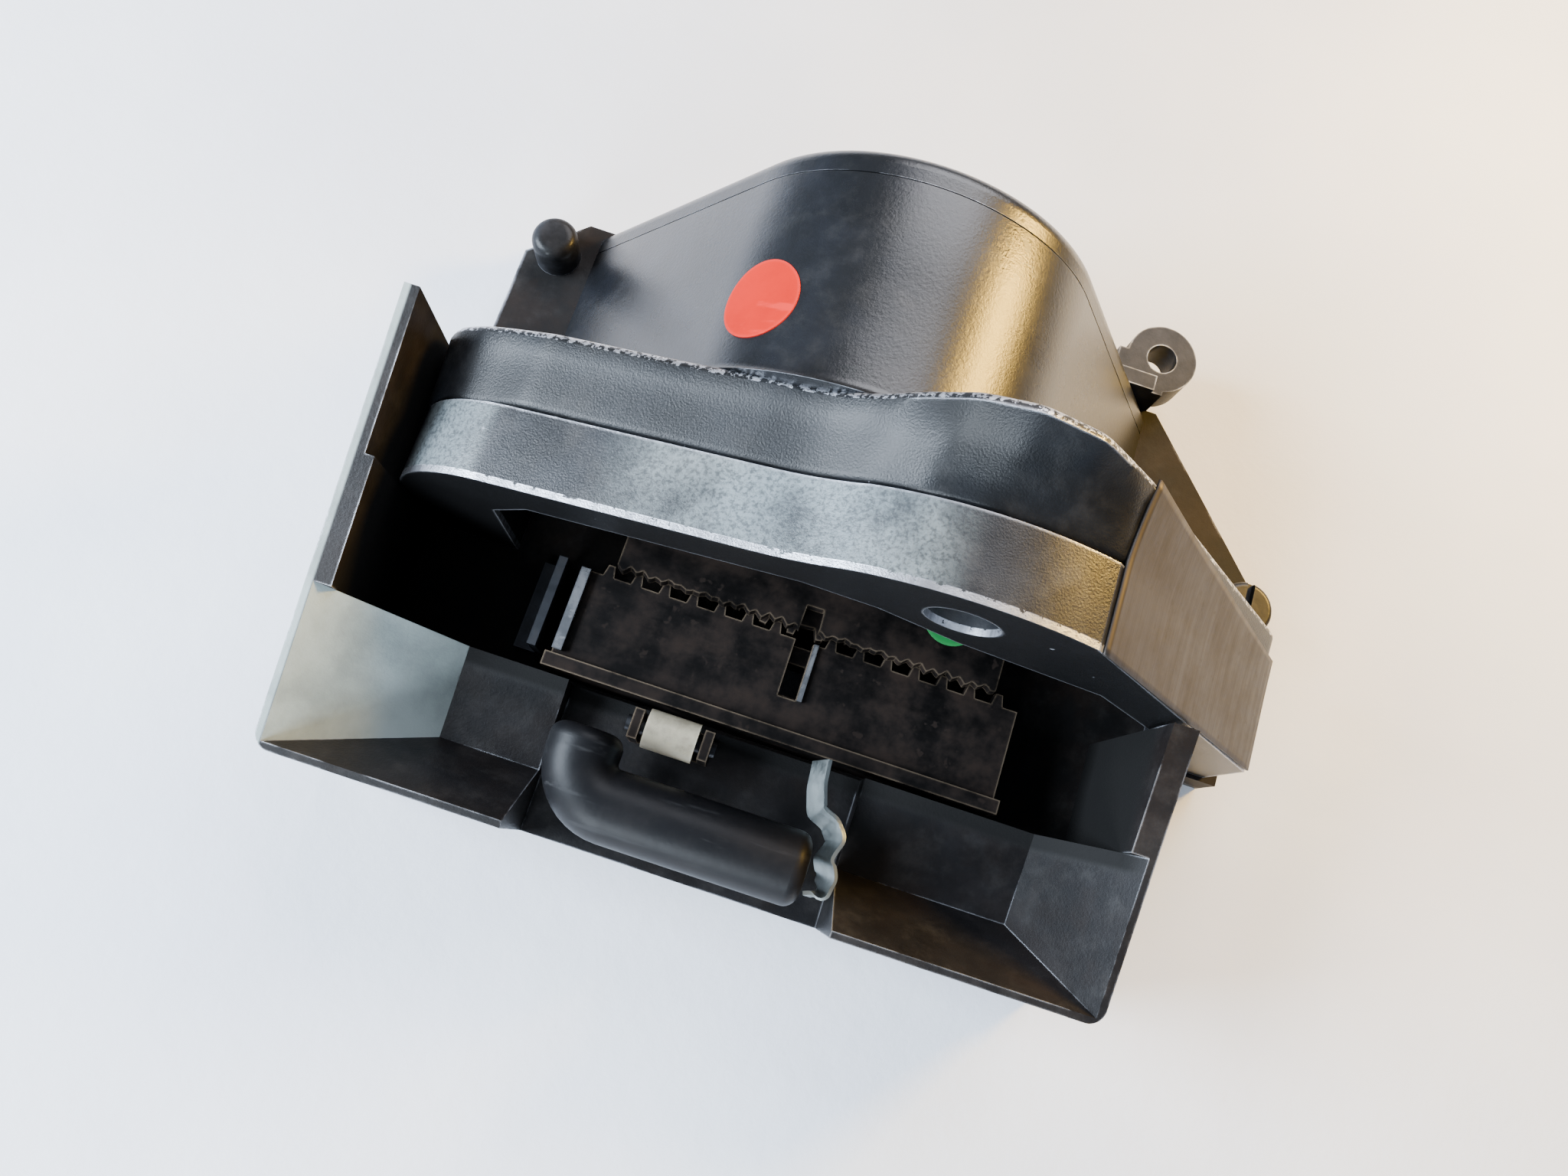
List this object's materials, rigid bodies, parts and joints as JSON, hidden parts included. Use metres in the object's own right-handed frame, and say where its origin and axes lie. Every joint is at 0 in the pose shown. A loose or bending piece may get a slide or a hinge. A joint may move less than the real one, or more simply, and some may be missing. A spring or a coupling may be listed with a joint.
{
  "type": "thermostatic air vent",
  "caption": "Black die-cast air vent with a drum-shaped thermostat housing, thick two-tier flange and a sliding shutter in an open mouth.",
  "frame": {"origin": "on the flat back, at the middle of the mouth's outer edge", "axes": "+X across the vent to the right seen from the front, +Y from the mouth towards the drum's far end, +Z out of the back"},
  "size_m": [0.0922, 0.0754, 0.0484],
  "materials": {
    "black_paint": "satin wrinkle enamel, chipped",
    "worn_cover": "enamel worn to grey metal",
    "gasket_rubber": "matte",
    "steel": "satin",
    "dark_steel": "oily, oxidised",
    "brass": "satin",
    "bimetal": "satin",
    "lug_paint": "satin enamel",
    "bar_plastic": "satin",
    "nylon": "cream nylon",
    "knob_plastic": "satin",
    "red_paint": "glossy sticker",
    "green_paint": "glossy sticker"
  },
  "bodies": {
    "vent": {"back_plate": "black_paint", "mouth_frame": "black_paint", "port_frame": "black_paint", "back_gasket": "gasket_rubber", "front_cover": "worn_cover", "cover_dowels": "steel", "drum_housing": "black_paint", "end_cap": "black_paint", "end_cap_screws": "steel", "foot_screws": "steel", "right_lug": "lug_paint", "left_lug": "lug_paint", "lower_bush": "brass", "upper_bush": "brass", "coil_post": "steel", "port_plate": "dark_steel", "guide_rail": "steel", "stop_strip": "steel", "upper_baffle": "dark_steel", "roller_bracket": "steel", "roller_pin": "steel", "spring_clip": "steel", "red_dot": "red_paint", "green_dot": "green_paint"},
    "thermostat": {"spindle": "steel", "toothed_sector": "dark_steel", "coil_hub": "brass", "bimetal_coil": "bimetal", "spindle_clip": "steel"},
    "shutter": {"shutter_plate": "dark_steel", "shutter_edge": "steel"},
    "bar": {"finger_bar": "bar_plastic", "bar_stems": "steel"},
    "roller": {"nylon_roller": "nylon"},
    "knob": {"setting_knob": "knob_plastic", "knob_stem": "steel"}
  },
  "joints": [
    {"name": "spindle_turn", "type": "hinge", "parent": "vent", "child": "thermostat", "pos_m": [0.0028, 0.05, 0.01], "axis": [0, 0, 1], "range_deg": [0, 22.5]},
    {"name": "shutter_slide", "type": "slide", "parent": "vent", "child": "shutter", "axis": [1, 0, 0], "range_m": [0, 0.00887]},
    {"name": "bar_press", "type": "slide", "parent": "vent", "child": "bar", "axis": [0, 0, -1], "range_m": [0, 0.0025], "stiffness_N_per_m": 400},
    {"name": "roller_spin", "type": "hinge", "parent": "vent", "child": "roller", "pos_m": [-0.0052, 0.0132, 0.0132], "axis": [1, 0, 0], "continuous": true},
    {"name": "knob_turn", "type": "hinge", "parent": "vent", "child": "knob", "pos_m": [0.0492, 0.0462, 0.006], "axis": [0, 0, 1], "range_deg": [-135, 135]}
  ],
  "couplings": [
    {"joint": "shutter_slide", "follows": "spindle_turn", "m_per_rad": 0.0226}
  ]
}
